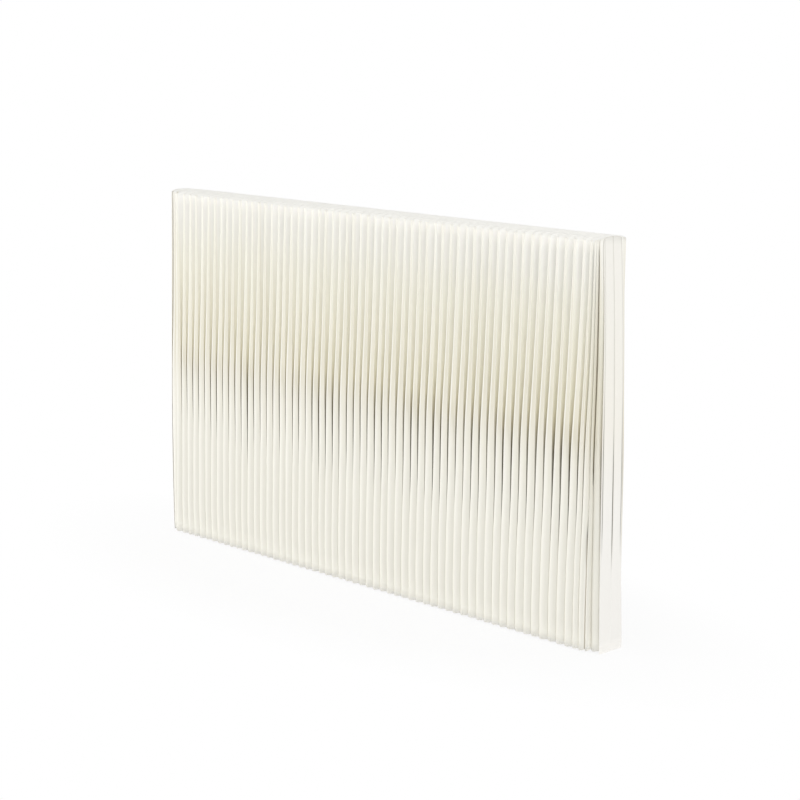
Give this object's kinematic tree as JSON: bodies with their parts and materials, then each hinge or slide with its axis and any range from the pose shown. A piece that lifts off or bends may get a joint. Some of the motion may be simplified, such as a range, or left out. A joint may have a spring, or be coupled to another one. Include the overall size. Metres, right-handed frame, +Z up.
{
  "type": "pleated paper screen",
  "caption": "Free-standing room screen of tall glued paper pleats that draws out and pushes together like an accordion, with a creased stiff leaf at each end.",
  "frame": {"origin": "middle of the base, at floor level, with the screen drawn right out", "axes": "+X along the length towards the end where the pleats crowd together, -Y out of the front face, +Z up"},
  "size_m": [2, 0.15, 1.23],
  "materials": {
    "pleated_paper": "matte ivory paper",
    "end_leaf": "matte white stiff paper"
  },
  "bodies": {
    "left_end": {"left_end_leaf": "end_leaf", "pleats_01": "pleated_paper"},
    "pleats_02": {"pleats_02": "pleated_paper"},
    "pleats_03": {"pleats_03": "pleated_paper"},
    "pleats_04": {"pleats_04": "pleated_paper"},
    "pleats_05": {"pleats_05": "pleated_paper"},
    "pleats_06": {"pleats_06": "pleated_paper"},
    "pleats_07": {"pleats_07": "pleated_paper"},
    "pleats_08": {"pleats_08": "pleated_paper"},
    "pleats_09": {"pleats_09": "pleated_paper"},
    "pleats_10": {"pleats_10": "pleated_paper"},
    "pleats_11": {"pleats_11": "pleated_paper"},
    "pleats_12": {"pleats_12": "pleated_paper"},
    "pleats_13": {"pleats_13": "pleated_paper"},
    "pleats_14": {"pleats_14": "pleated_paper"},
    "pleats_15": {"pleats_15": "pleated_paper"},
    "pleats_16": {"pleats_16": "pleated_paper"},
    "pleats_17": {"pleats_17": "pleated_paper"},
    "pleats_18": {"pleats_18": "pleated_paper"},
    "pleats_19": {"pleats_19": "pleated_paper"},
    "pleats_20": {"pleats_20": "pleated_paper"},
    "pleats_21": {"pleats_21": "pleated_paper"},
    "pleats_22": {"pleats_22": "pleated_paper"},
    "pleats_23": {"pleats_23": "pleated_paper"},
    "pleats_24": {"pleats_24": "pleated_paper"},
    "pleats_25": {"pleats_25": "pleated_paper"},
    "pleats_26": {"pleats_26": "pleated_paper"},
    "pleats_27": {"pleats_27": "pleated_paper"},
    "pleats_28": {"pleats_28": "pleated_paper"},
    "pleats_29": {"pleats_29": "pleated_paper"},
    "pleats_30": {"pleats_30": "pleated_paper"},
    "pleats_31": {"pleats_31": "pleated_paper"},
    "right_end": {"right_end_leaf": "end_leaf"}
  },
  "joints": [
    {"name": "draw", "type": "slide", "parent": "left_end", "child": "right_end", "axis": [1, 0, 0], "range_m": [-1, 0], "deforming": ["pleats_01"]},
    {"name": "pleats_02_draw", "type": "slide", "parent": "left_end", "child": "pleats_02", "axis": [1, 0, 0], "range_m": [-0.0394, 0], "deforming": ["pleats_02"]},
    {"name": "pleats_03_draw", "type": "slide", "parent": "left_end", "child": "pleats_03", "axis": [1, 0, 0], "range_m": [-0.0722, 0], "deforming": ["pleats_03"]},
    {"name": "pleats_04_draw", "type": "slide", "parent": "left_end", "child": "pleats_04", "axis": [1, 0, 0], "range_m": [-0.105, 0], "deforming": ["pleats_04"]},
    {"name": "pleats_05_draw", "type": "slide", "parent": "left_end", "child": "pleats_05", "axis": [1, 0, 0], "range_m": [-0.1378, 0], "deforming": ["pleats_05"]},
    {"name": "pleats_06_draw", "type": "slide", "parent": "left_end", "child": "pleats_06", "axis": [1, 0, 0], "range_m": [-0.1706, 0], "deforming": ["pleats_06"]},
    {"name": "pleats_07_draw", "type": "slide", "parent": "left_end", "child": "pleats_07", "axis": [1, 0, 0], "range_m": [-0.2035, 0], "deforming": ["pleats_07"]},
    {"name": "pleats_08_draw", "type": "slide", "parent": "left_end", "child": "pleats_08", "axis": [1, 0, 0], "range_m": [-0.2363, 0], "deforming": ["pleats_08"]},
    {"name": "pleats_09_draw", "type": "slide", "parent": "left_end", "child": "pleats_09", "axis": [1, 0, 0], "range_m": [-0.2691, 0], "deforming": ["pleats_09"]},
    {"name": "pleats_10_draw", "type": "slide", "parent": "left_end", "child": "pleats_10", "axis": [1, 0, 0], "range_m": [-0.3019, 0], "deforming": ["pleats_10"]},
    {"name": "pleats_11_draw", "type": "slide", "parent": "left_end", "child": "pleats_11", "axis": [1, 0, 0], "range_m": [-0.3347, 0], "deforming": ["pleats_11"]},
    {"name": "pleats_12_draw", "type": "slide", "parent": "left_end", "child": "pleats_12", "axis": [1, 0, 0], "range_m": [-0.3675, 0], "deforming": ["pleats_12"]},
    {"name": "pleats_13_draw", "type": "slide", "parent": "left_end", "child": "pleats_13", "axis": [1, 0, 0], "range_m": [-0.4003, 0], "deforming": ["pleats_13"]},
    {"name": "pleats_14_draw", "type": "slide", "parent": "left_end", "child": "pleats_14", "axis": [1, 0, 0], "range_m": [-0.4331, 0], "deforming": ["pleats_14"]},
    {"name": "pleats_15_draw", "type": "slide", "parent": "left_end", "child": "pleats_15", "axis": [1, 0, 0], "range_m": [-0.466, 0], "deforming": ["pleats_15"]},
    {"name": "pleats_16_draw", "type": "slide", "parent": "left_end", "child": "pleats_16", "axis": [1, 0, 0], "range_m": [-0.4988, 0], "deforming": ["pleats_16"]},
    {"name": "pleats_17_draw", "type": "slide", "parent": "left_end", "child": "pleats_17", "axis": [1, 0, 0], "range_m": [-0.5316, 0], "deforming": ["pleats_17"]},
    {"name": "pleats_18_draw", "type": "slide", "parent": "left_end", "child": "pleats_18", "axis": [1, 0, 0], "range_m": [-0.5644, 0], "deforming": ["pleats_18"]},
    {"name": "pleats_19_draw", "type": "slide", "parent": "left_end", "child": "pleats_19", "axis": [1, 0, 0], "range_m": [-0.5972, 0], "deforming": ["pleats_19"]},
    {"name": "pleats_20_draw", "type": "slide", "parent": "left_end", "child": "pleats_20", "axis": [1, 0, 0], "range_m": [-0.63, 0], "deforming": ["pleats_20"]},
    {"name": "pleats_21_draw", "type": "slide", "parent": "left_end", "child": "pleats_21", "axis": [1, 0, 0], "range_m": [-0.6628, 0], "deforming": ["pleats_21"]},
    {"name": "pleats_22_draw", "type": "slide", "parent": "left_end", "child": "pleats_22", "axis": [1, 0, 0], "range_m": [-0.6957, 0], "deforming": ["pleats_22"]},
    {"name": "pleats_23_draw", "type": "slide", "parent": "left_end", "child": "pleats_23", "axis": [1, 0, 0], "range_m": [-0.7285, 0], "deforming": ["pleats_23"]},
    {"name": "pleats_24_draw", "type": "slide", "parent": "left_end", "child": "pleats_24", "axis": [1, 0, 0], "range_m": [-0.7613, 0], "deforming": ["pleats_24"]},
    {"name": "pleats_25_draw", "type": "slide", "parent": "left_end", "child": "pleats_25", "axis": [1, 0, 0], "range_m": [-0.7941, 0], "deforming": ["pleats_25"]},
    {"name": "pleats_26_draw", "type": "slide", "parent": "left_end", "child": "pleats_26", "axis": [1, 0, 0], "range_m": [-0.8269, 0], "deforming": ["pleats_26"]},
    {"name": "pleats_27_draw", "type": "slide", "parent": "left_end", "child": "pleats_27", "axis": [1, 0, 0], "range_m": [-0.8597, 0], "deforming": ["pleats_27"]},
    {"name": "pleats_28_draw", "type": "slide", "parent": "left_end", "child": "pleats_28", "axis": [1, 0, 0], "range_m": [-0.8925, 0], "deforming": ["pleats_28"]},
    {"name": "pleats_29_draw", "type": "slide", "parent": "left_end", "child": "pleats_29", "axis": [1, 0, 0], "range_m": [-0.9254, 0], "deforming": ["pleats_29"]},
    {"name": "pleats_30_draw", "type": "slide", "parent": "left_end", "child": "pleats_30", "axis": [1, 0, 0], "range_m": [-0.9582, 0], "deforming": ["pleats_30"]},
    {"name": "pleats_31_draw", "type": "slide", "parent": "left_end", "child": "pleats_31", "axis": [1, 0, 0], "range_m": [-0.9795, 0], "deforming": ["pleats_31"]}
  ],
  "couplings": [
    {"joint": "pleats_02_draw", "follows": "draw", "ratio": 0.038884},
    {"joint": "pleats_03_draw", "follows": "draw", "ratio": 0.071698},
    {"joint": "pleats_04_draw", "follows": "draw", "ratio": 0.10451},
    {"joint": "pleats_05_draw", "follows": "draw", "ratio": 0.13733},
    {"joint": "pleats_06_draw", "follows": "draw", "ratio": 0.17014},
    {"joint": "pleats_07_draw", "follows": "draw", "ratio": 0.20295},
    {"joint": "pleats_08_draw", "follows": "draw", "ratio": 0.23577},
    {"joint": "pleats_09_draw", "follows": "draw", "ratio": 0.26858},
    {"joint": "pleats_10_draw", "follows": "draw", "ratio": 0.3014},
    {"joint": "pleats_11_draw", "follows": "draw", "ratio": 0.33421},
    {"joint": "pleats_12_draw", "follows": "draw", "ratio": 0.36702},
    {"joint": "pleats_13_draw", "follows": "draw", "ratio": 0.39984},
    {"joint": "pleats_14_draw", "follows": "draw", "ratio": 0.43265},
    {"joint": "pleats_15_draw", "follows": "draw", "ratio": 0.46546},
    {"joint": "pleats_16_draw", "follows": "draw", "ratio": 0.49828},
    {"joint": "pleats_17_draw", "follows": "draw", "ratio": 0.53109},
    {"joint": "pleats_18_draw", "follows": "draw", "ratio": 0.5639},
    {"joint": "pleats_19_draw", "follows": "draw", "ratio": 0.59672},
    {"joint": "pleats_20_draw", "follows": "draw", "ratio": 0.62953},
    {"joint": "pleats_21_draw", "follows": "draw", "ratio": 0.66235},
    {"joint": "pleats_22_draw", "follows": "draw", "ratio": 0.69516},
    {"joint": "pleats_23_draw", "follows": "draw", "ratio": 0.72797},
    {"joint": "pleats_24_draw", "follows": "draw", "ratio": 0.76079},
    {"joint": "pleats_25_draw", "follows": "draw", "ratio": 0.7936},
    {"joint": "pleats_26_draw", "follows": "draw", "ratio": 0.82642},
    {"joint": "pleats_27_draw", "follows": "draw", "ratio": 0.85923},
    {"joint": "pleats_28_draw", "follows": "draw", "ratio": 0.89204},
    {"joint": "pleats_29_draw", "follows": "draw", "ratio": 0.92486},
    {"joint": "pleats_30_draw", "follows": "draw", "ratio": 0.95767},
    {"joint": "pleats_31_draw", "follows": "draw", "ratio": 0.979}
  ]
}
